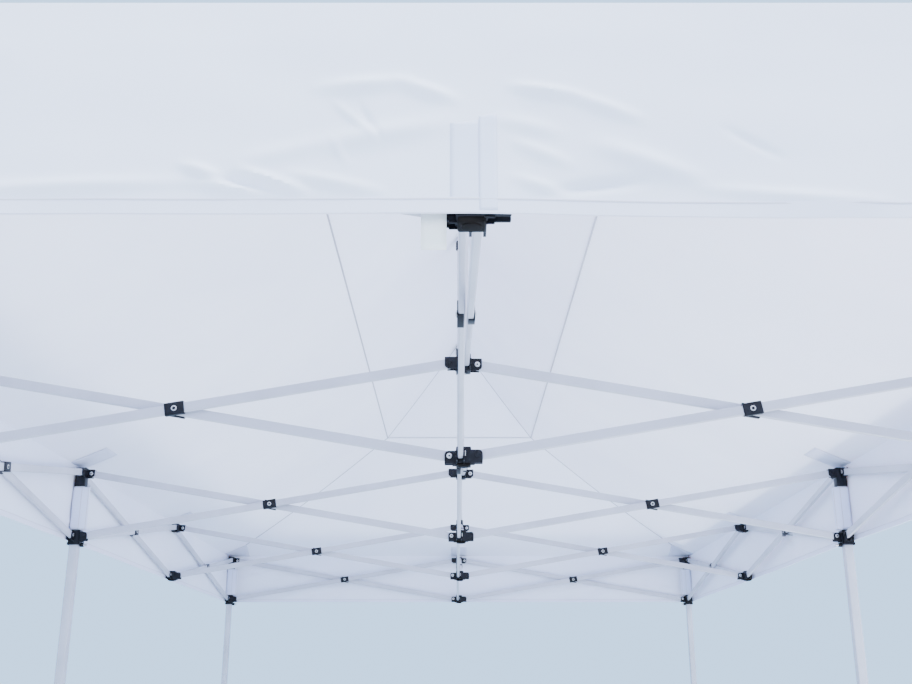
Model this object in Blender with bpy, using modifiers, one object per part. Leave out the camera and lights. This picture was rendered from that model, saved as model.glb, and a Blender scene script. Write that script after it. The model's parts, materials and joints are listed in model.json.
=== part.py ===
"""Six-leg pop up canopy, 3 x 6 m, with its scissor-truss frame, masts and fabric roof.

Metres, +Z up, +Y along the long side. The origin is on the ground under the middle of the frame.
Columns are left, centre and right along X; rows 1 to 5 run from front (-Y) to back (+Y).
Every scissor is two crossed bars of one length. The frame folds about hinges whose axes are horizontal,
so each hub and leg stays upright while the bars between them stand up.
"""

import math

import bmesh
import bpy
from mathutils import Matrix, Vector

# Frame layout
CELL_X = 1.47  # from one column of hubs to the next
CELL_Y = 1.47  # from one row of hubs to the next
COLUMNS = ("left", "centre", "right")
ROWS = 5
LEG_ROWS = (0, 2, 4)
HUB_HEIGHT = 2.35  # middle of the upper hubs above the ground
TRUSS_DEPTH = 0.24  # from the upper pins down to the lower pins

# Truss bars, flat tube
BAR_HEIGHT = 0.026
BAR_THICKNESS = 0.013
BAR_END_FLAT = 0.001  # left flat in the middle of a bar's round end
BAR_GAP = 0.003  # between the two bars of a scissor, at their pivot
BAR_TO_CORE = 0.0045  # from a bar's end to the hub's core

# Hubs
HUB_BLOCK_HEIGHT = 0.042
FORK_WALL = 0.0035
FORK_CLEARANCE = 0.0007
FORK_PAST_PIN = 0.012

# Legs
LEG_SIZE = 0.034
LEG_SLEEVE_WALL = 0.002
LEG_STEP = 0.006  # by how much the inner leg is slimmer than the outer one
OUTER_LEG_BOTTOM = 1.05
LEG_COLLAR_STEP = 0.01  # by how much the collar is wider than the outer leg
LEG_COLLAR_HEIGHT = 0.07
LEG_OVERLAP = 0.02  # how far joined stretches of a leg reach into each other
FOOT_SIZE = 0.09
FOOT_THICKNESS = 0.005

# Masts under the ridge
MAST_RADIUS = 0.014
MAST_CAP_RADIUS = 0.02
MAST_CAP_HEIGHT = 0.054
MAST_CAP_CLOSED = 0.004  # the cap's closed end, above the top of the pole
MAST_TO_ROOF = 0.03  # drop from the fabric's peak to the top of a mast

# Fabric roof
FABRIC_THICKNESS = 0.005
ROOF_TO_HUB = 0.012  # from the top of a hub up to the fabric's eave
VALANCE_TO_LEG = 0.010  # from a leg's outer face to the fabric beside it
VALANCE_DROP = 0.297  # from the eave down to the hem
KINK_OUT_X = 0.41  # from the ridge out to the seam where the roof changes slope
KINK_OUT_Y = 0.43  # from the ends of the ridge out to that seam, along the long side
KINK_RISE = 0.544  # from the eave up to that seam
RIDGE_RISE = 0.98  # from the eave up to the ridge

# Worked out from the sizes above
BAR_END_RADIUS = (BAR_HEIGHT - BAR_END_FLAT) / 2
HUB_CORE = LEG_SIZE + 2 * LEG_SLEEVE_WALL
PIN_OFFSET = HUB_CORE / 2 + BAR_END_RADIUS + BAR_TO_CORE  # from a hub's middle out to each of its pins
INNER_LEG_SIZE = LEG_SIZE - LEG_STEP
LEG_COLLAR_SIZE = LEG_SIZE + LEG_COLLAR_STEP
BAR_LATERAL = (BAR_THICKNESS + BAR_GAP) / 2
SPAN_X = CELL_X - 2 * PIN_OFFSET
SPAN_Y = CELL_Y - 2 * PIN_OFFSET
HUB_TOP = HUB_HEIGHT + HUB_BLOCK_HEIGHT / 2
EAVE_HEIGHT = HUB_TOP + ROOF_TO_HUB
RIDGE_HEIGHT = EAVE_HEIGHT + RIDGE_RISE
UP = Vector((0, 0, 1))


def clear_scene():
    for obj in list(bpy.data.objects):
        bpy.data.objects.remove(obj, do_unlink=True)


def new_collection(name):
    found = bpy.data.collections.new(name)
    bpy.context.scene.collection.children.link(found)
    return found


def new_material(name, colour, roughness, metallic):
    made = bpy.data.materials.new(name)
    made.use_nodes = True
    shader = made.node_tree.nodes["Principled BSDF"]
    shader.inputs["Base Color"].default_value = (*colour, 1)
    shader.inputs["Roughness"].default_value = roughness
    shader.inputs["Metallic"].default_value = metallic
    return made


def new_object(name, mesh, collection, material):
    obj = bpy.data.objects.new(name, mesh)
    collection.objects.link(obj)
    if material:
        obj.data.materials.append(material)
    return obj


def cuboid(name, low, high):
    """A closed box between two corners, as a mesh."""
    low, high = Vector(low), Vector(high)
    shape = bmesh.new()
    bmesh.ops.create_cube(shape, size=1)
    bmesh.ops.scale(shape, vec=high - low, verts=shape.verts)
    bmesh.ops.translate(shape, vec=(low + high) / 2, verts=shape.verts)
    mesh = bpy.data.meshes.new(name)
    shape.to_mesh(mesh)
    shape.free()
    return mesh


def upright_box(name, middle, size, bottom, top):
    """A square post of one size between two heights."""
    half = size / 2
    low = (middle.x - half, middle.y - half, bottom)
    high = (middle.x + half, middle.y + half, top)
    return cuboid(name, low, high)


def upright_rod(name, middle, radius, bottom, top, sides=20):
    shape = bmesh.new()
    bmesh.ops.create_cone(
        shape, cap_ends=True, segments=sides, radius1=radius, radius2=radius, depth=top - bottom
    )
    bmesh.ops.translate(shape, vec=(middle.x, middle.y, (bottom + top) / 2), verts=shape.verts)
    mesh = bpy.data.meshes.new(name)
    shape.to_mesh(mesh)
    shape.free()
    return mesh


def fork_outline():
    """One fork in plan, pointing along +X: two cheeks either side of the bar, as a path from -Y to +Y."""
    near = HUB_CORE / 2
    far = PIN_OFFSET + FORK_PAST_PIN
    slot_low = BAR_LATERAL - BAR_THICKNESS / 2 - FORK_CLEARANCE
    slot_high = BAR_LATERAL + BAR_THICKNESS / 2 + FORK_CLEARANCE
    return [
        (near, slot_low - FORK_WALL),
        (far, slot_low - FORK_WALL),
        (far, slot_low),
        (near, slot_low),
        (near, slot_high),
        (far, slot_high),
        (far, slot_high + FORK_WALL),
        (near, slot_high + FORK_WALL),
    ]


def hub_mesh(name, middle, directions):
    """A hub block in plan, with a fork for each of its directions, extruded to its height."""
    half = HUB_CORE / 2
    outline = []
    for quarter in range(4):
        turn = Matrix.Rotation(quarter * math.pi / 2, 2)
        side = [(half, -half)]
        if quarter in directions:
            side += fork_outline()
        outline += [turn @ Vector(point) for point in side]
    shape = bmesh.new()
    bottom = middle - HUB_BLOCK_HEIGHT / 2 * UP
    face = shape.faces.new([shape.verts.new(bottom + point.to_3d()) for point in outline])
    block = bmesh.ops.extrude_face_region(shape, geom=[face], use_keep_orig=True)
    raised = [item for item in block["geom"] if isinstance(item, bmesh.types.BMVert)]
    bmesh.ops.translate(shape, vec=HUB_BLOCK_HEIGHT * UP, verts=raised)
    bmesh.ops.recalc_face_normals(shape, faces=shape.faces)
    mesh = bpy.data.meshes.new(name)
    shape.to_mesh(mesh)
    shape.free()
    return mesh


def join_solids(obj, meshes, helpers):
    """Adds each mesh to the object by a Boolean union."""
    for mesh in meshes:
        helper = new_object(f"{obj.name}_{mesh.name}", mesh, helpers, None)
        helper.hide_render = True
        helper.display_type = "WIRE"
        join = obj.modifiers.new(mesh.name, "BOOLEAN")
        join.operation = "UNION"
        join.object = helper


def set_origin(obj, pivot):
    """Moves the object's origin onto its joint's axis, with its shape left where it is."""
    obj.data.transform(Matrix.Translation(-pivot))
    obj.location = pivot


def hub_middle(column, row):
    x = (column - (len(COLUMNS) - 1) / 2) * CELL_X
    y = (row - (ROWS - 1) / 2) * CELL_Y
    return Vector((x, y, HUB_HEIGHT))


def hub_directions(column, row):
    """The quarter turns from +X in which a neighbouring hub lies."""
    found = set()
    for quarter, (step_x, step_y) in enumerate(((1, 0), (0, 1), (-1, 0), (0, -1))):
        if 0 <= column + step_x < len(COLUMNS) and 0 <= row + step_y < ROWS:
            found.add(quarter)
    return found


def is_leg(column, row):
    return column != 1 and row in LEG_ROWS


def upright_name(column, row):
    kind = "leg" if is_leg(column, row) else "upper_hub"
    return f"{kind}_{COLUMNS[column]}_row{row + 1}"


def bar_mesh(name, length):
    """A flat bar along X with round ends, its middle at the origin."""
    shape = bmesh.new()
    bmesh.ops.create_cube(shape, size=1)
    size = Vector((length + 2 * BAR_END_RADIUS, BAR_THICKNESS, BAR_HEIGHT))
    bmesh.ops.scale(shape, vec=size, verts=shape.verts)
    across = [
        edge for edge in shape.edges
        if abs((edge.verts[0].co - edge.verts[1].co).normalized().y) > 0.9
    ]
    bmesh.ops.bevel(
        shape, geom=across, offset=BAR_END_RADIUS, segments=4, profile=0.5, affect="EDGES"
    )
    mesh = bpy.data.meshes.new(name)
    shape.to_mesh(mesh)
    shape.free()
    return mesh


def make_scissor(name, start, toward, span, mesh, parts, material):
    """Two crossed bars from one hub to the next. The first hangs from the start hub's upper pin."""
    side = UP.cross(toward)
    lower = -TRUSS_DEPTH * UP
    near = start + PIN_OFFSET * toward
    far = near + span * toward
    middle = (near + far + lower) / 2
    for suffix, top, bottom, lateral in (
        ("down", near, far + lower, BAR_LATERAL),
        ("up", far, near + lower, -BAR_LATERAL),
    ):
        along = (bottom - top).normalized()
        facing = Matrix((along, side, along.cross(side))).transposed().to_4x4()
        centre = middle + lateral * side
        bar = new_object(f"{name}_{suffix}", mesh.copy(), parts, material)
        bar.data.transform(Matrix.Translation(centre) @ facing)
        set_origin(bar, top if suffix == "down" else middle)


def make_hubs(parts, helpers, plastic):
    """The upper hubs that stand on no leg; those under the ridge carry a mast."""
    for column in range(len(COLUMNS)):
        for row in range(ROWS):
            if is_leg(column, row):
                continue
            middle = hub_middle(column, row)
            name = upright_name(column, row)
            directions = hub_directions(column, row)
            hub = new_object(name, hub_mesh(name, middle, directions), parts, plastic)
            if column == 1 and 0 < row < ROWS - 1:
                top = RIDGE_HEIGHT - FABRIC_THICKNESS - MAST_TO_ROOF
                cap_top = top + MAST_CAP_CLOSED
                mast = upright_rod("mast", middle, MAST_RADIUS, HUB_HEIGHT, top)
                cap = upright_rod("cap", middle, MAST_CAP_RADIUS, cap_top - MAST_CAP_HEIGHT, cap_top)
                join_solids(hub, [mast, cap], helpers)


def make_legs(parts, helpers, steel):
    """Each leg with its top bracket, telescoping lower stretch, collar and foot in one piece."""
    outer_low, outer_high = OUTER_LEG_BOTTOM, HUB_TOP - LEG_OVERLAP
    collar_low, collar_high = outer_low - LEG_OVERLAP, outer_low + LEG_COLLAR_HEIGHT
    inner_low, inner_high = FOOT_THICKNESS / 2, outer_low + LEG_OVERLAP
    for column in (0, 2):
        for row in LEG_ROWS:
            middle = hub_middle(column, row)
            name = upright_name(column, row)
            bracket = hub_mesh(name, middle, hub_directions(column, row))
            leg = new_object(name, bracket, parts, steel)
            join_solids(
                leg,
                [
                    upright_box("outer", middle, LEG_SIZE, outer_low, outer_high),
                    upright_box("collar", middle, LEG_COLLAR_SIZE, collar_low, collar_high),
                    upright_box("inner", middle, INNER_LEG_SIZE, inner_low, inner_high),
                    upright_box("foot", middle, FOOT_SIZE, 0, FOOT_THICKNESS),
                ],
                helpers,
            )


def make_trusses(parts, steel):
    """Cross scissors run out from the centre column; long scissors run between the rows."""
    length_x = math.hypot(SPAN_X, TRUSS_DEPTH)
    length_y = math.hypot(SPAN_Y, TRUSS_DEPTH)
    cross_mesh = bar_mesh("cross_bar", length_x)
    long_mesh = bar_mesh("long_bar", length_y)
    for row in range(ROWS):
        for side, toward in (("left", Vector((-1, 0, 0))), ("right", Vector((1, 0, 0)))):
            name = f"cross_bar_row{row + 1}_{side}"
            make_scissor(name, hub_middle(1, row), toward, SPAN_X, cross_mesh, parts, steel)
    for column, label in enumerate(COLUMNS):
        for bay in range(ROWS - 1):
            start_row, step = bay_start(column, bay)
            toward = Vector((0, step, 0))
            name = f"long_bar_{label}_bay{bay + 1}"
            make_scissor(name, hub_middle(column, start_row), toward, SPAN_Y, long_mesh, parts, steel)


def bay_start(column, bay):
    """The row that a long scissor hangs from, and its direction: from the middle row out along the
    ridge, and from the nearest leg along the sides."""
    if column == 1:
        return (bay, 1) if bay >= 2 else (bay + 1, -1)
    return (bay, 1) if bay in LEG_ROWS else (bay + 1, -1)


def make_roof(parts, fabric):
    """The fabric: eave, kink seam and ridge above, and a valance that hangs all round."""
    half_x = CELL_X + LEG_SIZE / 2 + VALANCE_TO_LEG
    half_y = (ROWS - 1) / 2 * CELL_Y + LEG_SIZE / 2 + VALANCE_TO_LEG
    ridge_y = ((ROWS - 1) / 2 - 1) * CELL_Y
    shape = bmesh.new()

    def ring(x, y, z):
        return [shape.verts.new(p) for p in ((-x, -y, z), (x, -y, z), (x, y, z), (-x, y, z))]

    hem = ring(half_x, half_y, EAVE_HEIGHT - VALANCE_DROP)
    eave = ring(half_x, half_y, EAVE_HEIGHT)
    kink = ring(KINK_OUT_X, ridge_y + KINK_OUT_Y, EAVE_HEIGHT + KINK_RISE)
    front = shape.verts.new((0, -ridge_y, RIDGE_HEIGHT))
    back = shape.verts.new((0, ridge_y, RIDGE_HEIGHT))
    for lower, upper in ((hem, eave), (eave, kink)):
        for i in range(4):
            j = (i + 1) % 4
            shape.faces.new((lower[i], lower[j], upper[j], upper[i]))
    shape.faces.new((kink[0], kink[1], front))
    shape.faces.new((kink[1], kink[2], back, front))
    shape.faces.new((kink[2], kink[3], back))
    shape.faces.new((kink[3], kink[0], front, back))
    bmesh.ops.recalc_face_normals(shape, faces=shape.faces)
    mesh = bpy.data.meshes.new("fabric_roof")
    shape.to_mesh(mesh)
    shape.free()
    roof = new_object("fabric_roof", mesh, parts, fabric)
    thick = roof.modifiers.new("thickness", "SOLIDIFY")
    thick.thickness = FABRIC_THICKNESS
    thick.offset = -1
    thick.use_even_offset = True


def main():
    clear_scene()
    parts = new_collection("pop_up_canopy")
    helpers = new_collection("helpers")
    steel = new_material("white_steel", (0.78, 0.79, 0.81), 0.35, 0.0)
    plastic = new_material("black_plastic", (0.02, 0.02, 0.025), 0.45, 0.0)
    fabric = new_material("white_fabric", (0.86, 0.87, 0.9), 0.8, 0.0)
    make_hubs(parts, helpers, plastic)
    make_legs(parts, helpers, steel)
    make_trusses(parts, steel)
    make_roof(parts, fabric)


main()
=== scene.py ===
"""The looks of the six-leg pop up canopy around the CAD frame: fabric, bars, brackets, legs and masts.

Everything is in metres in the frame of the CAD model, +Z up, +Y from front to back.
Columns are left, centre and right along X; rows 1 to 5 run along Y.
"""

import json
import math
import random

import bmesh
import bpy
from mathutils import Matrix, Vector, noise


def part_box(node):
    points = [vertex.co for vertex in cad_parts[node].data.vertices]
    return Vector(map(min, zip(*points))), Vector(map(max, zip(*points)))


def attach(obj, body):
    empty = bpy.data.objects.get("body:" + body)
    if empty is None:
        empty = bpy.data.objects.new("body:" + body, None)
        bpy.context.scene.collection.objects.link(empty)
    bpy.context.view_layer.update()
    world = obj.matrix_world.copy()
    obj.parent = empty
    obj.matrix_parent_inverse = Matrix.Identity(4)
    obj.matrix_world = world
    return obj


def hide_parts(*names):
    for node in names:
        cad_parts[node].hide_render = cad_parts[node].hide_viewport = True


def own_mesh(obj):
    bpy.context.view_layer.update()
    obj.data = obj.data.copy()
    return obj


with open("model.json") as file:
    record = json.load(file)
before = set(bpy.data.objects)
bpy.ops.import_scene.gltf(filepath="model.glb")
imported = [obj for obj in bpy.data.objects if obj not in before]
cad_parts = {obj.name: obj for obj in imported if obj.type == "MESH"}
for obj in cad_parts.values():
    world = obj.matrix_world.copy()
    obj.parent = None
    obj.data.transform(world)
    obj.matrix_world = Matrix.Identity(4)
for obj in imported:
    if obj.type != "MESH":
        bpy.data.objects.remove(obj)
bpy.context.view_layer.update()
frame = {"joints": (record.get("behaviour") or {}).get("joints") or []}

# ---------------------------------------------------------------- sizes from the frame

COLUMNS = ("left", "centre", "right")
ROWS = 5
LEG_ROWS = (0, 2, 4)
JOINTS = {joint["name"]: joint for joint in frame["joints"]}


def box_middle(node):
    low, high = (Vector(corner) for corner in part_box(node))
    return (low + high) / 2


PIN_OFFSET = -JOINTS["fold"]["pos_m"][0]
CELL_X = PIN_OFFSET - JOINTS["turn_upper_hub_left_row2"]["pos_m"][0]
CELL_Y = box_middle("upper_hub_centre_row4").y
HUB_Z = JOINTS["fold"]["pos_m"][2]
TRUSS_DEPTH = 2 * (HUB_Z - JOINTS["turn_cross_bar_row3_left_up"]["pos_m"][2])
SPAN = CELL_X - 2 * PIN_OFFSET

BAR_HEIGHT = 0.026
BAR_THICKNESS = 0.013
BAR_LATERAL = 0.008
HUB_HEIGHT = 0.042
HUB_CORE = 0.038
FORK_WALL = 0.0035
FORK_PAST_PIN = 0.012
LEG_SIZE = 0.034
INNER_LEG_SIZE = 0.028
COLLAR_BOTTOM = 1.03
COLLAR_TOP = 1.12
FOOT_SIZE = 0.09
FOOT_THICKNESS = 0.005

ROOF_LOW, ROOF_HIGH = (Vector(corner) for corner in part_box("fabric_roof"))
EAVE_X = ROOF_HIGH.x - 0.002
EAVE_Y = ROOF_HIGH.y - 0.002
HEM_Z = ROOF_LOW.z + 0.004
RIDGE_Z = ROOF_HIGH.z - 0.002
VALANCE_DROP = 0.293
EAVE_Z = HEM_Z + VALANCE_DROP
KINK_X = 0.41
KINK_Y = CELL_Y + 0.43
KINK_Z = EAVE_Z + 0.544
RIDGE_Y = CELL_Y
UP = Vector((0, 0, 1))


# ---------------------------------------------------------------- materials

def new_material(name, colour, roughness, metallic=0.0):
    made = bpy.data.materials.new(name)
    made.use_nodes = True
    shader = made.node_tree.nodes["Principled BSDF"]
    shader.inputs["Base Color"].default_value = (*colour, 1)
    shader.inputs["Roughness"].default_value = roughness
    shader.inputs["Metallic"].default_value = metallic
    return made, made.node_tree, shader


def add_node(tree, kind, **values):
    node = tree.nodes.new(kind)
    for key, value in values.items():
        if key in node.inputs:
            node.inputs[key].default_value = value
        else:
            setattr(node, key, value)
    return node


def object_noise(tree, scale, detail=3.0, stretch=(1, 1, 1)):
    """Noise in the object's own metres. The result is its Fac socket."""
    where = add_node(tree, "ShaderNodeTexCoord")
    mapping = add_node(tree, "ShaderNodeMapping")
    mapping.inputs["Scale"].default_value = stretch
    tree.links.new(where.outputs["Object"], mapping.inputs["Vector"])
    found = add_node(tree, "ShaderNodeTexNoise", Scale=scale, Detail=detail)
    tree.links.new(mapping.outputs["Vector"], found.inputs["Vector"])
    return found.outputs["Fac"]


def ramp_between(tree, source, low, high, start=0.3, end=0.7):
    ramp = add_node(tree, "ShaderNodeValToRGB")
    ramp.color_ramp.elements[0].position = start
    ramp.color_ramp.elements[1].position = end
    ramp.color_ramp.elements[0].color = (*low, 1)
    ramp.color_ramp.elements[1].color = (*high, 1)
    tree.links.new(source, ramp.inputs["Fac"])
    return ramp.outputs["Color"]


def roughness_between(tree, source, low, high):
    spread = add_node(tree, "ShaderNodeMapRange")
    spread.inputs["To Min"].default_value = low
    spread.inputs["To Max"].default_value = high
    tree.links.new(source, spread.inputs["Value"])
    return spread.outputs["Result"]


def add_bump(tree, shader, source, strength, distance, below=None):
    bump = add_node(tree, "ShaderNodeBump", Strength=strength, Distance=distance)
    tree.links.new(source, bump.inputs["Height"])
    if below:
        tree.links.new(below.outputs["Normal"], bump.inputs["Normal"])
    tree.links.new(bump.outputs["Normal"], shader.inputs["Normal"])
    return bump


def weave(tree, scale):
    """Crossed threads as a height: two waves at right angles, in object metres."""
    where = add_node(tree, "ShaderNodeTexCoord")
    total = None
    for axis in ("X", "Y", "Z"):
        wave = add_node(tree, "ShaderNodeTexWave", Scale=scale, Distortion=1.2)
        wave.inputs["Detail Scale"].default_value = 3.0
        wave.bands_direction = axis
        tree.links.new(where.outputs["Object"], wave.inputs["Vector"])
        if total is None:
            total = wave.outputs["Fac"]
            continue
        both = add_node(tree, "ShaderNodeMath", operation="MULTIPLY")
        tree.links.new(total, both.inputs[0])
        tree.links.new(wave.outputs["Fac"], both.inputs[1])
        total = both.outputs[0]
    return total


def fabric_material(name, low, high, roughness=0.78):
    """Coated polyester: fine threads, soft mottling, a little sheen."""
    made, tree, shader = new_material(name, high, roughness)
    shader.inputs["Sheen Weight"].default_value = 0.12
    shader.inputs["Subsurface Weight"].default_value = 0.08
    mottle = object_noise(tree, 2.2, 4)
    tree.links.new(ramp_between(tree, mottle, low, high), shader.inputs["Base Color"])
    cloth = object_noise(tree, 38.0, 5)
    first = add_bump(tree, shader, cloth, 0.12, 0.0015)
    add_bump(tree, shader, weave(tree, 520.0), 0.1, 0.0003, below=first)
    return made


def steel_material():
    """White powder coat with a faint orange-peel skin. Its grey-lilac colour is painted shade in place of
    the white, with slight random greying.
    """
    # painted shade: the white coat's base colour is set to a grey-lilac
    made, tree, shader = new_material("white_powder_coat", (0.50, 0.50, 0.57), 0.34)
    shade_and_grime = object_noise(tree, 5.0, 5)
    # the grey-lilac ends of this ramp are painted shade; the noise between them is random greying
    tree.links.new(
        ramp_between(tree, shade_and_grime, (0.45, 0.45, 0.51), (0.54, 0.54, 0.61), 0.25, 0.6),
        shader.inputs["Base Color"],
    )
    peel = object_noise(tree, 420.0, 2)
    tree.links.new(roughness_between(tree, peel, 0.28, 0.45), shader.inputs["Roughness"])
    add_bump(tree, shader, peel, 0.08, 0.0004)
    shader.inputs["Coat Weight"].default_value = 0.15
    return made


def plastic_material(name, low, high, specular):
    made, tree, shader = new_material(name, high, 0.42)
    shader.inputs["Specular IOR Level"].default_value = specular
    wear = object_noise(tree, 60.0, 5)
    tree.links.new(ramp_between(tree, wear, low, high), shader.inputs["Base Color"])
    grain = object_noise(tree, 900.0, 2)
    tree.links.new(roughness_between(tree, wear, 0.33, 0.55), shader.inputs["Roughness"])
    add_bump(tree, shader, grain, 0.12, 0.0003)
    return made


def zinc_material():
    made, tree, shader = new_material("zinc_plate", (0.62, 0.62, 0.64), 0.3, 1.0)
    scuff = object_noise(tree, 300.0, 4)
    tree.links.new(roughness_between(tree, scuff, 0.22, 0.45), shader.inputs["Roughness"])
    tree.links.new(
        ramp_between(tree, scuff, (0.5, 0.5, 0.51), (0.72, 0.72, 0.73)), shader.inputs["Base Color"]
    )
    return made


FABRIC = fabric_material("white_coated_polyester", (0.80, 0.81, 0.94), (0.86, 0.87, 0.98))
TAPE = fabric_material("grey_seam_tape", (0.30, 0.30, 0.37), (0.38, 0.38, 0.46))
HEM = fabric_material("hem_fabric", (0.78, 0.76, 0.90), (0.84, 0.82, 0.95))
LAP = fabric_material("lapped_fabric", (0.72, 0.745, 0.93), (0.78, 0.80, 0.96))
# the reinforcement cloth is white; its grey colour, darker than the cover, is painted shade
PATCH = fabric_material("white_reinforcement", (0.62, 0.62, 0.76), (0.70, 0.70, 0.84))
LOOP_TAPE = fabric_material("cream_loop_tape", (0.93, 0.92, 0.86), (0.98, 0.97, 0.91), 0.9)
STITCH = fabric_material("pale_stitching", (0.58, 0.56, 0.64), (0.66, 0.64, 0.72), 0.9)
STEEL = steel_material()
BLACK = plastic_material("black_nylon", (0.003, 0.003, 0.005), (0.011, 0.011, 0.015), 0.20)
BROWN = plastic_material("dark_plate", (0.006, 0.005, 0.005), (0.013, 0.011, 0.010), 0.02)
ZINC = zinc_material()


# ---------------------------------------------------------------- mesh helpers

def piece_from(name, shape, materials, body, smooth_angle=35):
    """Finishes a bmesh as an object that rides on a body."""
    mesh = bpy.data.meshes.new(name)
    bmesh.ops.recalc_face_normals(shape, faces=shape.faces)
    shape.to_mesh(mesh)
    shape.free()
    obj = bpy.data.objects.new(name, mesh)
    bpy.context.scene.collection.objects.link(obj)
    for made in materials:
        mesh.materials.append(made)
    mesh.shade_smooth()
    mesh.set_sharp_from_angle(angle=math.radians(smooth_angle))
    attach(obj, body)
    return obj


def merge(target, source, matrix=None, slot=0):
    """Adds one bmesh to another, moved by matrix and given a material slot."""
    mesh = bpy.data.meshes.new("part")
    if matrix is not None:
        bmesh.ops.transform(source, matrix=matrix, verts=source.verts)
    for face in source.faces:
        face.material_index = slot
    source.to_mesh(mesh)
    source.free()
    target.from_mesh(mesh)
    bpy.data.meshes.remove(mesh)


def rounded_box(size, radius, segments=3):
    shape = bmesh.new()
    bmesh.ops.create_cube(shape, size=1)
    bmesh.ops.scale(shape, vec=Vector(size), verts=shape.verts)
    edges = shape.edges[:]
    bmesh.ops.bevel(shape, geom=edges, offset=radius, segments=segments, affect="EDGES", profile=0.5)
    return shape


def rod(radius, length, sides=24, edge=0.0):
    """A rod along Z about the origin, with its rims rounded."""
    shape = bmesh.new()
    bmesh.ops.create_cone(shape, cap_ends=True, segments=sides, radius1=radius, radius2=radius, depth=length)
    if edge:
        rims = [e for e in shape.edges if abs(e.verts[0].co.z - e.verts[1].co.z) < 1e-6]
        bmesh.ops.bevel(shape, geom=rims, offset=edge, segments=3, profile=0.5, affect="EDGES")
    return shape


def rounded_bar(length, height, thickness, edge_radius):
    """A flat bar along X with round ends and softened rims, as rings stacked across its thickness."""
    shape = bmesh.new()
    arc = [math.radians(a) for a in range(-90, 91, 15)]
    flat = thickness / 2 - edge_radius
    levels = [(-flat + edge_radius * math.sin(a), a) for a in arc[:7]]
    levels += [(flat + edge_radius * math.sin(a), a) for a in arc[6:]]
    levels = [(levels[0][0], None)] + levels + [(levels[-1][0], None)]
    rings = []
    for y, a in levels:
        inset = edge_radius * 1.15 if a is None else edge_radius * (1 - math.cos(a))
        radius = height / 2 - inset
        ring = []
        for end in (1, -1):
            for turn in arc:
                x = end * (length / 2 + radius * math.cos(turn))
                ring.append(shape.verts.new((x, y, end * radius * math.sin(turn))))
        rings.append(ring)
    for one, two in zip(rings, rings[1:]):
        for i in range(len(one)):
            j = (i + 1) % len(one)
            shape.faces.new((one[i], one[j], two[j], two[i]))
    shape.faces.new(rings[0])
    shape.faces.new(rings[-1][::-1])
    return shape


def cheek(length, height, thickness, corner, rounded):
    """A plate along X from the origin, centred in Y and Z. Its far corner is rounded at the top
    (rounded 1) or at the bottom (rounded -1), and only softened at the other."""
    shape = bmesh.new()
    bmesh.ops.create_cube(shape, size=1)
    bmesh.ops.scale(shape, vec=Vector((length, thickness, height)), verts=shape.verts)
    bmesh.ops.translate(shape, vec=(length / 2, 0, 0), verts=shape.verts)
    for sign, radius in ((rounded, corner), (-rounded, 0.002)):
        far = [
            e for e in shape.edges
            if abs((e.verts[0].co - e.verts[1].co).normalized().y) > 0.9
            and e.verts[0].co.x > length * 0.9 and e.verts[0].co.z * sign > height * 0.4
        ]
        bmesh.ops.bevel(shape, geom=far[:1], offset=radius, segments=6, profile=0.5, affect="EDGES")
    return shape


def facing(direction, side):
    """The rotation that takes X to direction and Y to side."""
    direction, side = direction.normalized(), side.normalized()
    return Matrix((direction, side, direction.cross(side))).transposed().to_4x4()


def at(point):
    return Matrix.Translation(Vector(point))


def hub_middle(column, row, z=HUB_Z):
    return Vector(((column - 1) * CELL_X, (row - (ROWS - 1) / 2) * CELL_Y, z))


def is_leg(column, row):
    return column != 1 and row in LEG_ROWS


def upright(column, row):
    kind = "leg" if is_leg(column, row) else "upper_hub"
    return f"{kind}_{COLUMNS[column]}_row{row + 1}"


def hub_directions(column, row):
    steps = ((1, 0), (0, 1), (-1, 0), (0, -1))
    return [
        Vector((x, y, 0)) for x, y in steps
        if 0 <= column + x < len(COLUMNS) and 0 <= row + y < ROWS
    ]


# ---------------------------------------------------------------- brackets

# A cheek's lowest and highest edge from its pin, the radius of its far corner, and the share of its
# length that the lip under it takes, by rounded side
CHEEKS = {-1: (-0.013, 0.016, 0.008, 0.8), 1: (-0.020, 0.013, 0.0105, 0.4)}


def add_fork(shape, middle, direction, lateral, core_half, rounded):
    """Two cheeks round a bar's end, each with a lip under it, the web that joins them, and the rivet.
    The slot between the cheeks is open above and below, so the bar can swing.
    The rivet's rolled head is on the side towards the scissor's other bar."""
    side = UP.cross(direction)
    turn = facing(direction, side)
    reach = PIN_OFFSET + FORK_PAST_PIN - core_half + 0.004
    low, high, corner, lip_share = CHEEKS[rounded]
    tall, centre = high - low, (high + low) / 2 * UP
    lip_size = (reach * lip_share, FORK_WALL * 0.8, 0.0030)
    head_side = -math.copysign(1, lateral)
    for offset in (-1, 1):
        across = lateral + offset * (BAR_THICKNESS / 2 + 0.0007 + FORK_WALL / 2)
        start = middle + centre + (core_half - 0.004) * direction + across * side
        merge(shape, cheek(reach, tall, FORK_WALL, corner, rounded), at(start) @ turn)
        lip = start - centre + lip_size[0] / 2 * direction + (low - 0.0012) * UP
        merge(shape, rounded_box(lip_size, 0.0008, 2), at(lip) @ turn)
        head = middle + PIN_OFFSET * direction + (across + offset * (FORK_WALL / 2 + 0.0012)) * side
        stand = at(head) @ facing(UP, direction)
        ring = offset == head_side
        merge(shape, rod(0.0070, 0.0026, 20, 0.001), stand, slot=1 if ring else 0)
        if ring:
            merge(shape, rod(0.0025, 0.0036, 14, 0.0005), stand)
    web_size = (0.005, BAR_THICKNESS + 2 * FORK_WALL, tall)
    web = middle + centre + (core_half - 0.0015) * direction + lateral * side
    merge(shape, rounded_box(web_size, 0.0012, 2), at(web) @ turn)


def hub_shape(middle, directions, lateral, core, rounded):
    shape = bmesh.new()
    merge(shape, rounded_box((core, core, HUB_HEIGHT), 0.003), at(middle))
    for direction in directions:
        add_fork(shape, middle, direction, lateral, core / 2, rounded)
    return shape


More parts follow.
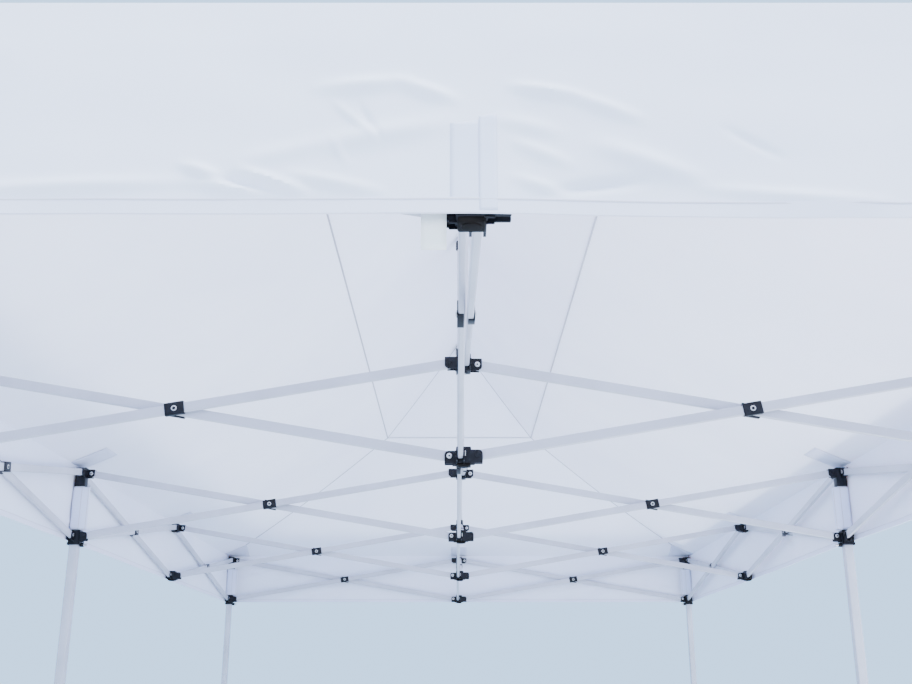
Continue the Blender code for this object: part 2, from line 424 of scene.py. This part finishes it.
def make_upper_hub(column, row):
    middle = hub_middle(column, row)
    shape = hub_shape(middle, hub_directions(column, row), BAR_LATERAL, HUB_CORE, -1)
    merge(shape, rod(0.012, 0.003, 24, 0.001), at(middle - (HUB_HEIGHT / 2 + 0.001) * UP))
    merge(shape, rod(0.006, 0.003, 6, 0.0005), at(middle - (HUB_HEIGHT / 2 + 0.003) * UP), slot=1)
    name = upright(column, row)
    hub = piece_from(f"bracket_{name}", shape, [BLACK, ZINC], name)
    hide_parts(name)
    return hub


def follow_fold_down(piece):
    """Gives a piece its own copy of its mesh."""
    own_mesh(piece)


def make_lower_hub(column, row):
    """The lower bracket: forks, a flat plate under it and a round boss."""
    middle = hub_middle(column, row, HUB_Z - TRUSS_DEPTH)
    shape = hub_shape(middle, hub_directions(column, row), -BAR_LATERAL, HUB_CORE, 1)
    plate = middle - (HUB_HEIGHT / 2 + 0.002) * UP
    merge(shape, rounded_box((0.035, 0.035, 0.008), 0.003, 3), at(plate), slot=2)
    merge(shape, rod(0.013, 0.003, 28, 0.001), at(plate - 0.004 * UP), slot=2)
    name = f"lower_bracket_{COLUMNS[column]}_row{row + 1}"
    hub = piece_from(name, shape, [BLACK, ZINC, BROWN], upright(column, row))
    follow_fold_down(hub)
    return hub


def frame_of_boxes(shape, middle, inner, wall, bottom, top, slot=0):
    """A square sleeve made of four rounded walls round a leg."""
    reach = inner / 2 + wall / 2
    for x, y in ((1, 0), (0, 1), (-1, 0), (0, -1)):
        tall = top - bottom
        size = (wall, inner + 2 * wall, tall) if x else (inner + 2 * wall, wall, tall)
        place = Vector((middle.x + x * reach, middle.y + y * reach, (bottom + top) / 2))
        merge(shape, rounded_box(size, min(wall * 0.3, 0.002), 2), at(place), slot=slot)


def make_slider(column, row):
    """The lower bracket that slides on a leg, with its skirt and the ring of its lock pin."""
    middle = hub_middle(column, row, HUB_Z - TRUSS_DEPTH)
    shape = bmesh.new()
    frame_of_boxes(shape, middle, LEG_SIZE + 0.001, 0.0035, middle.z - 0.030, middle.z + HUB_HEIGHT / 2)
    core = LEG_SIZE + 0.008
    for direction in hub_directions(column, row):
        add_fork(shape, middle, direction, -BAR_LATERAL, core / 2, 1)
    frame_of_boxes(shape, middle, LEG_SIZE + 0.006, 0.003, middle.z - 0.036, middle.z - 0.026)
    inward = Vector((-1 if column == 2 else 1, 0, 0))
    knob = middle + (core / 2 + 0.006) * inward - 0.034 * UP
    merge(shape, rod(0.008, 0.014, 22, 0.0015), at(knob) @ facing(UP, UP.cross(inward)))
    pin = at(knob + 0.006 * inward) @ facing(UP, UP.cross(inward))
    merge(shape, rod(0.0045, 0.026, 16, 0.001), pin, slot=1)
    name = f"slider_{COLUMNS[column]}_row{row + 1}"
    slider = piece_from(name, shape, [BLACK, ZINC], upright(column, row))
    follow_fold_down(slider)
    return slider


# ---------------------------------------------------------------- legs and masts

def make_leg(column, row):
    name = upright(column, row)
    middle = hub_middle(column, row)
    flat = Vector((middle.x, middle.y, 0))
    top = HUB_Z + HUB_HEIGHT / 2
    outer = bmesh.new()
    height = top - 0.003 - COLLAR_BOTTOM
    tube = rounded_box((LEG_SIZE, LEG_SIZE, height), 0.0045, 4)
    merge(outer, tube, at(flat + (COLLAR_BOTTOM + height / 2) * UP))
    outer = piece_from(f"outer_{name}", outer, [STEEL], name)
    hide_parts(name)

    bracket = bmesh.new()
    frame_of_boxes(bracket, middle, LEG_SIZE, 0.002, HUB_Z - 0.052, top)
    for direction in hub_directions(column, row):
        add_fork(bracket, middle, direction, BAR_LATERAL, LEG_SIZE / 2 + 0.002, -1)
    lid = rounded_box((LEG_SIZE + 0.004, LEG_SIZE + 0.004, 0.004), 0.0015, 2)
    merge(bracket, lid, at(flat + (top - 0.002) * UP))
    bracket = piece_from(f"top_bracket_{name}", bracket, [BLACK, ZINC], name)

    inner = bmesh.new()
    height = COLLAR_BOTTOM + 0.03 - FOOT_THICKNESS
    tube = rounded_box((INNER_LEG_SIZE, INNER_LEG_SIZE, height), 0.004, 4)
    merge(inner, tube, at(flat + (FOOT_THICKNESS + height / 2) * UP))
    outward = Vector((-1 if column == 0 else 1, 0, 0))
    for step in range(4):
        hole = flat + (0.55 + 0.12 * step) * UP + INNER_LEG_SIZE / 2 * outward
        merge(inner, rod(0.005, 0.0012, 18), at(hole) @ facing(UP, UP.cross(outward)), slot=1)
    inner = piece_from(f"inner_{name}", inner, [STEEL, BLACK], name)

    collar = bmesh.new()
    frame_of_boxes(collar, flat, INNER_LEG_SIZE + 0.001, 0.0075, COLLAR_BOTTOM, COLLAR_BOTTOM + 0.05)
    frame_of_boxes(collar, flat, LEG_SIZE + 0.0005, 0.0045, COLLAR_BOTTOM + 0.046, COLLAR_TOP)
    button = flat + (LEG_SIZE / 2 + 0.008) * outward + (COLLAR_BOTTOM + 0.028) * UP
    merge(collar, rod(0.009, 0.012, 24, 0.002), at(button) @ facing(UP, UP.cross(outward)), slot=1)
    collar = piece_from(f"collar_{name}", collar, [BLACK, ZINC], name)

    foot = bmesh.new()
    plate = rounded_box((FOOT_SIZE, FOOT_SIZE, FOOT_THICKNESS), 0.0018, 3)
    merge(foot, plate, at(flat + FOOT_THICKNESS / 2 * UP))
    frame_of_boxes(foot, flat, INNER_LEG_SIZE + 0.0006, 0.003, FOOT_THICKNESS - 0.001, 0.045)
    for x in (-1, 1):
        for y in (-1, 1):
            hole = flat + Vector((x, y, 0)) * FOOT_SIZE * 0.36 + FOOT_THICKNESS * UP
            merge(foot, rod(0.0055, 0.0008, 18), at(hole), slot=1)
    foot = piece_from(f"foot_{name}", foot, [ZINC, BLACK], name)


def make_mast(row):
    """A round pole on an upper hub, with a sleeve at its foot and a black cap under the fabric."""
    name = upright(1, row)
    middle = hub_middle(1, row)
    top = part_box(name)[1][2]
    shape = bmesh.new()
    pole_top = top - 0.02
    merge(shape, rod(0.0135, pole_top - HUB_Z, 32, 0.001), at((middle.x, middle.y, (HUB_Z + pole_top) / 2)))
    pole = piece_from(f"mast_row{row + 1}", shape, [STEEL], name)
    shape = bmesh.new()
    merge(shape, rod(0.0195, 0.04, 32, 0.004), at((middle.x, middle.y, top - 0.025)))
    merge(shape, rod(0.0175, 0.02, 32, 0.002), at((middle.x, middle.y, HUB_Z + HUB_HEIGHT / 2 + 0.010)))
    cap = piece_from(f"mast_cap_row{row + 1}", shape, [BLACK], name)


# ---------------------------------------------------------------- truss bars

def make_bar(node, top, bottom, side, lateral):
    along = bottom - top
    middle = (top + bottom) / 2 + lateral * side
    shape = rounded_bar(along.length, BAR_HEIGHT, BAR_THICKNESS, 0.0036)
    bmesh.ops.transform(shape, matrix=at(middle) @ facing(along, side), verts=shape.verts)
    bar = piece_from(f"bar_{node}", shape, [STEEL], node)
    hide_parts(node)


def make_clip(node, middle, along, side, sign):
    """Half of the pivot clip: a channel on the outer face of one bar, with the rivet's ring."""
    shape = bmesh.new()
    turn = facing(along, side)
    outer = sign * (BAR_LATERAL + BAR_THICKNESS / 2)
    back = middle + (outer + sign * 0.0012) * side
    merge(shape, rounded_box((0.050, 0.0026, 0.033), 0.001, 2), at(back) @ turn)
    for edge in (-1, 1):
        lip = middle + (outer - sign * 0.0045) * side
        lip += edge * (BAR_HEIGHT / 2 + 0.0018) * (turn @ Vector((0, 0, 1)))
        merge(shape, rounded_box((0.050, 0.0125, 0.003), 0.001, 2), at(lip) @ turn)
    head = middle + (outer + sign * 0.0034) * side
    stand = at(head) @ facing(UP, along.cross(UP).cross(UP) * -1)
    merge(shape, rod(0.0072, 0.0024, 24, 0.0008), stand, slot=1)
    merge(shape, rod(0.0042, 0.0034, 18, 0.0006), stand, slot=0)
    clip = piece_from(f"pivot_clip_{node}", shape, [BLACK, ZINC], node)


def make_scissor(name, start, toward):
    side = UP.cross(toward)
    lower = -TRUSS_DEPTH * UP
    near = start + PIN_OFFSET * toward
    far = near + SPAN * toward
    middle = (near + far + lower) / 2
    for suffix, top, bottom, sign in (("down", near, far + lower, 1), ("up", far, near + lower, -1)):
        node = f"{name}_{suffix}"
        make_bar(node, top, bottom, side, sign * BAR_LATERAL)
        make_clip(node, middle, (bottom - top).normalized(), side, sign)


def make_trusses():
    for row in range(ROWS):
        for label, x in (("left", -1), ("right", 1)):
            make_scissor(f"cross_bar_row{row + 1}_{label}", hub_middle(1, row), Vector((x, 0, 0)))
    for column, label in enumerate(COLUMNS):
        for bay in range(ROWS - 1):
            if column == 1:
                start, step = (bay, 1) if bay >= 2 else (bay + 1, -1)
            else:
                start, step = (bay, 1) if bay in LEG_ROWS else (bay + 1, -1)
            name = f"long_bar_{label}_bay{bay + 1}"
            make_scissor(name, hub_middle(column, start), Vector((0, step, 0)))


# ---------------------------------------------------------------- fabric

RIDGE_SAG = 0.018
LOWER_SAG = 0.022
UPPER_SAG = 0.008
random.seed(7)


def crease_set(count, half_width):
    """Random shallow creases on a valance: (start, end, depth, width) with x along it and z up."""
    found = []
    for _ in range(count):
        x = random.uniform(-half_width, half_width)
        if half_width == EAVE_X and abs(x) < 0.6:
            x = math.copysign(random.uniform(0.75, 1.3), x)
        z = HEM_Z + random.uniform(0.03, 0.24)
        slant = random.choice((-1, 1)) * random.uniform(0.05, 0.55)
        length = random.uniform(0.12, 0.42)
        direction = Vector((math.cos(slant), math.sin(slant)))
        start = Vector((x, z)) - direction * length / 2
        depth = random.choice((-1, 1)) * random.uniform(0.0015, 0.004)
        found.append((start, start + direction * length, depth, random.uniform(0.010, 0.03)))
    return found


# Folds pressed into the middle of the front valance: start and end as (x, height above the hem),
# depth and width
FRONT_FOLDS = (
    (-0.66, 0.030, -0.34, 0.041, 0.005, 0.012),
    (-0.34, 0.041, -0.24, 0.027, 0.005, 0.010),
    (-0.35, 0.064, -0.30, 0.045, 0.007, 0.009),
    (-0.31, 0.047, -0.24, 0.031, -0.006, 0.008),
    (-0.28, 0.057, -0.20, 0.028, 0.007, 0.009),
    (-0.22, 0.052, -0.11, 0.028, 0.005, 0.010),
    (-0.28, 0.068, -0.19, 0.090, 0.004, 0.016),
    (-0.20, 0.088, -0.03, 0.120, 0.006, 0.019),
    (-0.19, 0.168, -0.08, 0.178, 0.006, 0.013),
    (-0.09, 0.178, -0.02, 0.152, 0.006, 0.011),
    (-0.17, 0.150, -0.12, 0.102, 0.003, 0.005),
    (-0.14, 0.148, -0.11, 0.096, -0.003, 0.005),
    (-0.17, 0.098, -0.15, 0.062, 0.002, 0.005),
    (0.05, 0.172, 0.13, 0.160, 0.006, 0.010),
    (0.12, 0.162, 0.21, 0.128, 0.005, 0.011),
    (0.03, 0.126, 0.11, 0.108, 0.004, 0.014),
    (0.05, 0.096, 0.12, 0.066, 0.004, 0.011),
    (0.10, 0.030, 0.21, 0.046, -0.006, 0.010),
    (0.05, 0.048, 0.11, 0.028, 0.004, 0.010),
    (0.15, 0.094, 0.28, 0.048, 0.006, 0.018),
    (0.28, 0.036, 0.50, 0.020, 0.004, 0.010),
    (0.31, 0.118, 0.38, 0.078, -0.003, 0.007),
)
FOLD_DEPTH = 1.25
FOLD_SHARPNESS = 0.72
LEAST_FOLD_WIDTH = 0.004


def front_folds():
    """The folds above as (start, end, depth, width), deepened and narrowed, like those of crease_set."""
    found = []
    for x0, up0, x1, up1, depth, width in FRONT_FOLDS:
        start, end = Vector((x0, HEM_Z + up0)), Vector((x1, HEM_Z + up1))
        found.append((start, end, depth * FOLD_DEPTH, max(LEAST_FOLD_WIDTH, width * FOLD_SHARPNESS)))
    return found


CREASES = {
    "front": crease_set(20, EAVE_X) + front_folds(),
    "back": crease_set(30, EAVE_X),
    "left": crease_set(52, EAVE_Y),
    "right": crease_set(52, EAVE_Y),
}


def crease_depth(side, along, z):
    """How far creases push one point of a valance outwards."""
    total = 0.0
    for start, end, depth, width in CREASES[side]:
        if abs(along - start.x) > 0.6:
            continue
        line = end - start
        point = Vector((along, z)) - start
        share = max(0.0, min(1.0, point.dot(line) / line.length_squared))
        gap = (point - share * line).length / width
        if gap < 3:
            fade = math.sin(math.pi * (0.08 + 0.84 * share))
            total += depth * fade * math.exp(-gap * gap)
    return total


def roof_level(t):
    """Half width, half length and height of the fabric at level t: 0 ridge, 1 kink seam, 2 eave, 3 hem."""
    if t <= 1:
        sag = UPPER_SAG * math.sin(math.pi * t)
        return KINK_X * t, RIDGE_Y + (KINK_Y - RIDGE_Y) * t, RIDGE_Z + (KINK_Z - RIDGE_Z) * t - sag
    if t <= 2:
        s = t - 1
        sag = LOWER_SAG * math.sin(math.pi * s)
        half_x = KINK_X + (EAVE_X - KINK_X) * s
        half_y = KINK_Y + (EAVE_Y - KINK_Y) * s
        return half_x, half_y, KINK_Z + (EAVE_Z - KINK_Z) * s - sag
    return EAVE_X, EAVE_Y, EAVE_Z + (HEM_Z - EAVE_Z) * (t - 2)


def ridge_droop(y):
    """The fabric hangs a little between the masts."""
    share = (abs(y) % CELL_Y) / CELL_Y if abs(y) < RIDGE_Y else 0.0
    return RIDGE_SAG * math.sin(math.pi * share)


def fabric_point(t, side, share):
    """A point of the fabric. side is front, right, back or left; share runs 0 to 1 along that side."""
    half_x, half_y, z = roof_level(t)
    if side == "front":
        x, y, out = half_x * (2 * share - 1), -half_y, Vector((0, -1, 0))
    elif side == "right":
        x, y, out = half_x, half_y * (2 * share - 1), Vector((1, 0, 0))
    elif side == "back":
        x, y, out = half_x * (1 - 2 * share), half_y, Vector((0, 1, 0))
    else:
        x, y, out = -half_x, half_y * (1 - 2 * share), Vector((-1, 0, 0))
    point = Vector((x, y, z))
    away = math.sin(math.pi * share)  # nothing moves at the corners
    if t <= 1:
        if side in ("left", "right"):
            point.z -= ridge_droop(y) * (1 - t) * 0.9
        point.z += 0.003 * away * t * (1 - t) * 4 * noise.noise(point * 3.1)
    elif t <= 2:
        s = t - 1
        hold = away * math.sin(math.pi * s)
        point.z += hold * (0.010 * noise.noise(point * 1.3) + 0.003 * noise.noise(point * 5.7))
    else:
        drop = t - 2
        along = x if side in ("front", "back") else y
        calm = min(1.0, away * 6)
        wave = 0.006 * noise.noise(Vector((along * 2.3, 7.7 * len(side), drop * 0.8)))
        ripple = 0.002 * noise.noise(Vector((along * 9, 3.1, drop * 4)))
        depth = wave + ripple + crease_depth(side, along, z)
        point += out * depth * calm * min(1.0, drop * 5)
        point.z += 0.0025 * drop * calm * noise.noise(Vector((along * 3.1, 1.7, 0.4)))
        if side == "front":
            point.z -= drop * min(0.006, 0.012 * max(x, 0) + 0.005 * max(-x, 0))
    return point


def levels():
    upper = [i / 14 for i in range(14)]
    lower = [1 + i / 26 for i in range(26)]
    edge = [2 + i / 66 for i in range(67)]
    return upper + lower + edge


SIDE_STEPS = {"front": 400, "right": 280, "back": 110, "left": 280}


def side_shares(side):
    """How far along a side its columns of points lie, 0 to 1: closer together in the middle of the front."""
    steps = SIDE_STEPS[side]
    even = [2 * i / steps - 1 for i in range(steps)]
    middle = 0.5 if side == "front" else 1.0
    return [(1 + middle * u + (1 - middle) * u ** 3) / 2 for u in even]


def make_roof():
    """The whole fabric as one sheet, from the ridge down over the kink seam and the eave to the hem."""
    rings = []
    for t in levels():
        ring = []
        for side in ("front", "right", "back", "left"):
            ring += [fabric_point(t, side, share) for share in side_shares(side)]
        rings.append(ring)
    count = len(rings[0])
    points = [tuple(p) for ring in rings for p in ring]
    faces = []
    for level in range(len(rings) - 1):
        a, b = level * count, (level + 1) * count
        for i in range(count):
            j = (i + 1) % count
            faces.append((a + i, b + i, b + j, a + j))
    mesh = bpy.data.meshes.new("fabric_cover")
    mesh.from_pydata(points, [], faces)
    shape = bmesh.new()
    shape.from_mesh(mesh)
    close_ridge(shape)
    bmesh.ops.remove_doubles(shape, verts=shape.verts, dist=2e-5)
    bpy.data.meshes.remove(mesh)
    cover = piece_from("fabric_cover", shape, [FABRIC], "fabric_roof", 50)
    thick = cover.modifiers.new("thickness", "SOLIDIFY")
    thick.thickness = 0.0012
    thick.offset = 0
    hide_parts("fabric_roof")
    return cover


def close_ridge(shape):
    """Welds the two sides of the fabric along the ridge, where their points lie within a millimetre."""
    ridge = [v for v in shape.verts if abs(v.co.x) < 1e-6 and v.co.z > RIDGE_Z - RIDGE_SAG - 0.002]
    bmesh.ops.remove_doubles(shape, verts=ridge, dist=0.004)


GATHER_FROM = 0.05  # cloth nearer the ridge than this stays over the masts


def make_gather_hooks():
    """For each side, an empty that moves up and down with the fabric and sideways with the middle leg."""
    hooks = []
    for side, sign in (("left", -1), ("right", 1)):
        place = Vector((sign * CELL_X, 0, HUB_Z))
        pair = []
        riders = ((f"leg_guide_{side}", f"leg_{side}_row3"), (f"gather_hook_{side}", "fabric_roof"))
        for name, body in riders:
            empty = bpy.data.objects.new(name, None)
            bpy.context.scene.collection.objects.link(empty)
            empty.location = place
            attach(empty, body)
            pair.append(empty)
        guide, hook = pair
        follow = hook.constraints.new("COPY_LOCATION")
        follow.target = guide
        follow.use_y = False
        follow.use_z = False
        hooks.append((sign, hook))
    bpy.context.view_layer.update()
    return hooks


def gather_with_fold(piece, hooks):
    """Lets a piece of the fabric draw in with the frame, along Y and across X."""
    for sign, hook in hooks:
        group = piece.vertex_groups.new(name=hook.name)
        for vertex in piece.data.vertices:
            weight = (sign * vertex.co.x - GATHER_FROM) / (CELL_X - GATHER_FROM)
            if weight > 0:
                group.add([vertex.index], min(weight, 1.0), "REPLACE")
        pull = piece.modifiers.new(hook.name, "HOOK")
        pull.object = hook
        pull.vertex_group = group.name
        pull.falloff_type = "NONE"
        pull.matrix_inverse = hook.matrix_world.inverted() @ piece.matrix_world
    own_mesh(piece)


def tape_along(shape, points, normals, width, thickness):
    """A flat tape along a run of points, lying against the surface that the normals belong to."""
    rows = []
    for i, point in enumerate(points):
        before, after = points[max(i - 1, 0)], points[min(i + 1, len(points) - 1)]
        across = (after - before).cross(normals[i]).normalized() * width / 2
        deep = normals[i] * thickness
        rows.append([shape.verts.new(point + v) for v in (-across, across, across + deep, -across + deep)])
    for one, two in zip(rows, rows[1:]):
        for k in range(4):
            j = (k + 1) % 4
            shape.faces.new((one[k], one[j], two[j], two[k]))
    shape.faces.new(rows[0][::-1])
    shape.faces.new(rows[-1])


def make_seams():
    """Tapes sewn under the hips, the kink seam and the ridge."""
    shape = bmesh.new()
    below = Vector((0, 0, -1))
    runs = []
    for side in ("front", "right", "back", "left"):
        hip = [fabric_point(t / 40, side, 0.0) for t in range(1, 80)]
        kink = [fabric_point(1.0, side, i / 60) for i in range(61)]
        runs += [hip, kink]
    ridge = [fabric_point(0.001, "right", i / 80) for i in range(81)]
    runs.append(ridge)
    for run in runs:
        lowered = [p + below * 0.0012 for p in run]
        tape_along(shape, lowered, [below] * len(run), 0.006, 0.0012)
    seams = piece_from("seam_tapes", shape, [TAPE], "fabric_roof")
    return seams


OUTWARD = {"front": (0, -1, 0), "right": (1, 0, 0), "back": (0, 1, 0), "left": (-1, 0, 0)}


def out_of(side):
    """The way a valance faces."""
    return Vector(OUTWARD[side])


def valance_run(t, side, start, end, steps, lift):
    """Points on the face of a valance, lifted off it by lift."""
    shares = [start + (end - start) * i / steps for i in range(steps + 1)]
    return [fabric_point(t, side, share) + out_of(side) * lift for share in shares]


def make_hem():
    """The turned-up hem: a doubled band round the foot of the valance on both faces."""
    shape = bmesh.new()
    stitches = bmesh.new()
    top = 3 - 0.020 / (EAVE_Z - HEM_Z)
    for side in ("front", "right", "back", "left"):
        for face in (-1, 1):
            steps = SIDE_STEPS[side]
            low = valance_run(3.0, side, 0.001, 0.999, steps, face * 0.0022)
            high = valance_run(top, side, 0.001, 0.999, steps, face * 0.0017)
            low_in = valance_run(3.0, side, 0.001, 0.999, steps, face * 0.0004)
            high_in = valance_run(top, side, 0.001, 0.999, steps, face * 0.0004)
            rows = [[shape.verts.new(p) for p in quad] for quad in zip(low, high, high_in, low_in)]
            for one, two in zip(rows, rows[1:]):
                for k in range(4):
                    j = (k + 1) % 4
                    shape.faces.new((one[k], one[j], two[j], two[k]))
            shape.faces.new(rows[0][::-1])
            shape.faces.new(rows[-1])
            line = valance_run(top + 0.008, side, 0.001, 0.999, steps, face * 0.0018)
            tape_along(stitches, line, [out_of(side) * face] * len(line), 0.0016, 0.0005)
    hem = piece_from("valance_hem", shape, [HEM], "fabric_roof")
    line = piece_from("hem_stitching", stitches, [STITCH], "fabric_roof")
    return hem, line


LAPS = ((-0.026, 0.012, 0.118, 0.0010), (0.009, 0.031, 0.128, 0.0019))


def make_valance_laps():
    """The two lapped strips where the valance's panels meet, low in the middle of each short side."""
    made = []
    for side in ("front", "back"):
        shape = bmesh.new()
        for left, right, height, lift in LAPS:
            rows = []
            for i in range(31):
                t = 2.99 - height / VALANCE_DROP * i / 30
                row = []
                for k in range(7):
                    x = left + (right - left) * k / 6
                    slant = t - (0.02 * (k / 6 - 0.5) if i == 30 else 0.0)
                    face = fabric_point(slant, side, 0.5 + x / (2 * EAVE_X))
                    row.append(shape.verts.new(face + out_of(side) * lift))
                rows.append(row)
            for one, two in zip(rows, rows[1:]):
                for k in range(6):
                    shape.faces.new((one[k], one[k + 1], two[k + 1], two[k]))
        lap = piece_from(f"valance_lap_{side}", shape, [LAP], "fabric_roof")
        thick = lap.modifiers.new("thickness", "SOLIDIFY")
        thick.thickness = 0.0008
        thick.offset = 0
        made.append(lap)
    return made


def make_patches():
    """Square reinforcements sewn inside the cover over every leg and side bracket, greyed as painted shade.
    """
    made = []
    for column in range(3):
        for row in range(ROWS):
            if column == 1 and 0 < row < ROWS - 1:
                continue
            middle = hub_middle(column, row)
            size = 0.135 if is_leg(column, row) else 0.10
            shape = bmesh.new()
            steps = 8
            inward_x = -Vector((middle.x, 0, 0)).normalized() if column != 1 else Vector((0, 0, 0))
            centre = Vector((middle.x, middle.y, 0)) + inward_x * size * 0.30
            if row in (0, ROWS - 1):
                centre.y -= math.copysign(size * 0.30, middle.y)
            grid = []
            for i in range(steps + 1):
                line = []
                for j in range(steps + 1):
                    x = centre.x + size * (i / steps - 0.5)
                    y = centre.y + size * (j / steps - 0.5)
                    lift = 0.0012 * noise.noise(Vector((x * 30, y * 30, 0)))
                    line.append(shape.verts.new((x, y, roof_height(x, y) - 0.003 + lift)))
                grid.append(line)
            for i in range(steps):
                for j in range(steps):
                    shape.faces.new((grid[i][j], grid[i + 1][j], grid[i + 1][j + 1], grid[i][j + 1]))
            patch = piece_from(f"patch_{COLUMNS[column]}_row{row + 1}", shape, [PATCH], "fabric_roof")
            thick = patch.modifiers.new("thickness", "SOLIDIFY")
            thick.thickness = 0.0012
            thick.offset = 0
            made.append(patch)
    return made


def roof_height(x, y):
    """Height of the fabric over a point between the kink seam and the eave."""
    s = max((abs(x) - KINK_X) / (EAVE_X - KINK_X), (abs(y) - KINK_Y) / (EAVE_Y - KINK_Y))
    s = max(0.0, min(1.0, s))
    return roof_level(1 + s)[2]


def make_leg_wraps():
    """The strips sewn to the valance that fold round the outside of each leg, between its brackets.
    Both ends are free and reach inwards past the leg, in front of it and behind it."""
    near = LEG_SIZE / 2 + 0.0035
    path = [(0.044, -near - 0.002), (0.030, -near - 0.001), (0.012, -near)]
    path += [(-0.012, -near), (-near, -near + 0.004)]
    path += [(-near - 0.0005, 0.0)]
    path += [(-near, near - 0.004), (-0.012, near), (0.012, near), (0.030, near + 0.001)]
    bottom = HUB_Z - TRUSS_DEPTH + 0.024
    top = HUB_Z - 0.056
    steps = 20
    for column in (0, 2):
        inward = 1 if column == 0 else -1
        for row in LEG_ROWS:
            middle = hub_middle(column, row)
            shape = bmesh.new()
            rows = []
            for i in range(steps + 1):
                z = bottom + (top - bottom) * i / steps
                ring = []
                for deep, along in path:
                    loose = 0.0012 + 0.05 * max(deep - 0.01, 0)
                    wave = loose * noise.noise(Vector((deep * 30, along * 20, z * 18 + row * 5 + column)))
                    out = math.copysign(abs(wave), along)
                    x = middle.x + inward * (deep + wave)
                    ring.append(shape.verts.new((x, middle.y + along + out, z)))
                rows.append(ring)
            for one, two in zip(rows, rows[1:]):
                for k in range(len(path) - 1):
                    shape.faces.new((one[k], one[k + 1], two[k + 1], two[k]))
            name = upright(column, row)
            wrap = piece_from(f"leg_wrap_{COLUMNS[column]}_row{row + 1}", shape, [LAP], name, 80)
            thick = wrap.modifiers.new("thickness", "SOLIDIFY")
            thick.thickness = 0.0014
            thick.offset = 0
            stitches = bmesh.new()
            front = Vector((0, -1, 0))
            for deep in (0.040, 0.014):
                line = [
                    Vector((middle.x + inward * deep, middle.y - near - 0.0035, z))
                    for z in (bottom + (top - bottom) * i / 20 for i in range(21))
                ]
                tape_along(stitches, line, [front] * 21, 0.002, 0.0008)
            seam = piece_from(f"wrap_stitching_{COLUMNS[column]}_row{row + 1}", stitches, [STITCH], name)


def make_tie_tab():
    """A looped cream tape that hangs behind the front valance, beside the front middle bracket."""
    shape = bmesh.new()
    half_width = 0.0155
    gap = 0.004
    corner = Vector((-0.046, -2 * CELL_Y - 0.001, HEM_Z))
    path = [(-gap, 0.06 - 0.0125 * k) for k in range(7)]
    turns = [math.pi * i / 10 for i in range(11)]
    path += [(-gap * math.cos(turn), -0.030 - 1.6 * gap * math.sin(turn)) for turn in turns]
    path += [(gap, -0.022 + 0.0125 * k) for k in range(6)]
    rows = []
    for y, z in path:
        wave = 0.0012 * noise.noise(Vector((y * 90, z * 40, 0)))
        spread = (-half_width, -half_width / 3, half_width / 3, half_width)
        across = [corner + Vector((x, y + wave, z)) for x in spread]
        rows.append([shape.verts.new(point) for point in across])
    for one, two in zip(rows, rows[1:]):
        for k in range(3):
            shape.faces.new((one[k], one[k + 1], two[k + 1], two[k]))
    tab = piece_from("tie_tab", shape, [LOOP_TAPE], upright(1, 0), 80)
    thick = tab.modifiers.new("thickness", "SOLIDIFY")
    thick.thickness = 0.0018
    thick.offset = 0


# ---------------------------------------------------------------- stage

def make_stage():
    bpy.ops.mesh.primitive_plane_add(size=60, location=(0, 0, -0.0005))
    floor = bpy.context.object
    floor.name = "floor"
    made, _, _ = new_material("pale_floor", (0.78, 0.79, 0.80), 0.9)
    floor.data.materials.append(made)
    world = bpy.data.worlds.new("studio")
    bpy.context.scene.world = world
    world.use_nodes = True
    back = world.node_tree.nodes["Background"]
    back.inputs["Color"].default_value = (0.42, 0.67, 1.0, 1)
    back.inputs["Strength"].default_value = 2.3
    for name, place, aim, size, power in (
        ("softbox_above_front", (0.9, -4.3, 5.4), (0, -2.9, 2.2), 1.3, 170),
        ("softbox_front", (-1.5, -8.0, 3.2), (0, -2.9, 2.2), 3.0, 260),
        ("softbox_top", (3.0, -3.0, 8.0), (0, 0, 2.4), 6.0, 900),
        ("bounce_under", (1.8, -0.6, 0.15), (0.8, 0, 3.0), 5.0, 220),
        ("glow_under_roof", (0.1, 0, HUB_Z + 0.06), (0.1, 0, 3.0), 2.6, 35),
    ):
        light = bpy.data.lights.new(name, "AREA")
        light.size = size
        light.energy = power
        light.color = (0.95, 0.95, 1.0)
        if name == "glow_under_roof":
            light.shape = "RECTANGLE"
            light.size_y = 5.4
        holder = bpy.data.objects.new(name, light)
        bpy.context.scene.collection.objects.link(holder)
        holder.visible_camera = False
        holder.location = place
        holder.rotation_euler = (Vector(aim) - Vector(place)).to_track_quat("-Z", "Y").to_euler()


CAMERA_LENS = 42.58
CAMERA_SIDE = -0.019
CAMERA_BACK = 1.203  # in front of the first row of legs
CAMERA_BELOW_HUBS = 0.803
CAMERA_TILT = 17.93  # degrees above level


def make_camera():
    """Eye height, just in front of the middle of a short side, tilted up under the roof."""
    camera = bpy.data.cameras.new("camera")
    camera.lens = CAMERA_LENS
    camera.sensor_width = 36
    camera.clip_end = 200
    holder = bpy.data.objects.new("camera", camera)
    bpy.context.scene.collection.objects.link(holder)
    holder.location = (CAMERA_SIDE, -2 * CELL_Y - CAMERA_BACK, HUB_Z - CAMERA_BELOW_HUBS)
    holder.rotation_euler = (math.radians(90 + CAMERA_TILT), 0, 0)
    bpy.context.scene.camera = holder


# ---------------------------------------------------------------- the whole canopy

make_camera()
make_stage()
for column in range(len(COLUMNS)):
    for row in range(ROWS):
        if is_leg(column, row):
            make_leg(column, row)
            make_slider(column, row)
        else:
            make_upper_hub(column, row)
            make_lower_hub(column, row)
for row in range(1, ROWS - 1):
    make_mast(row)
make_trusses()
cover = make_roof()
seams = make_seams()
hem, stitching = make_hem()
laps = make_valance_laps()
patches = make_patches()
make_leg_wraps()
make_tie_tab()
gather_hooks = make_gather_hooks()
for soft_piece in [cover, seams, hem, stitching] + laps + patches:
    gather_with_fold(soft_piece, gather_hooks)
